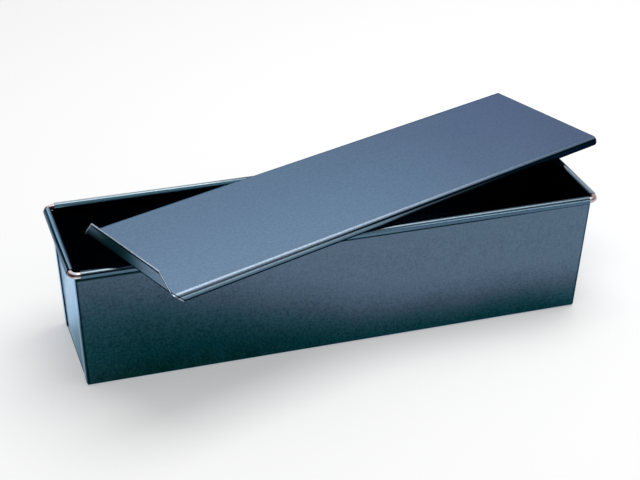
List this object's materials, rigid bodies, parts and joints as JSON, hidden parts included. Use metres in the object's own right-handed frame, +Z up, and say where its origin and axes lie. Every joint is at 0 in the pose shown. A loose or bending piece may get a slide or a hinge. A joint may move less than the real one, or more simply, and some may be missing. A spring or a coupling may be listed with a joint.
{
  "type": "pullman loaf pan",
  "caption": "Long straight-sided bread pan of folded sheet with a wired rim, and a lid with curled channels that slides onto the rim, here lying askew on it.",
  "frame": {"origin": "middle of the pan's underside, on the surface that it stands on", "axes": "+X along the pan, away from the end where the lid's pull is; +Y across it; +Z up"},
  "size_m": [0.4485, 0.2563, 0.1239],
  "materials": {
    "pan_steel": "blued, semi-gloss",
    "lid_steel": "blued, semi-gloss",
    "wire_steel": "drawn, bare"
  },
  "bodies": {
    "pan": {"pan_wrapper": "pan_steel", "left_end": "pan_steel", "right_end": "pan_steel", "rim_wire": "wire_steel"},
    "lid": {"lid": "lid_steel"}
  },
  "joints": [
    {"name": "lid_lift", "type": "slide", "parent": "pan", "child": "lid", "axis": [0, 0, 1], "range_m": [0, 0.15]}
  ]
}
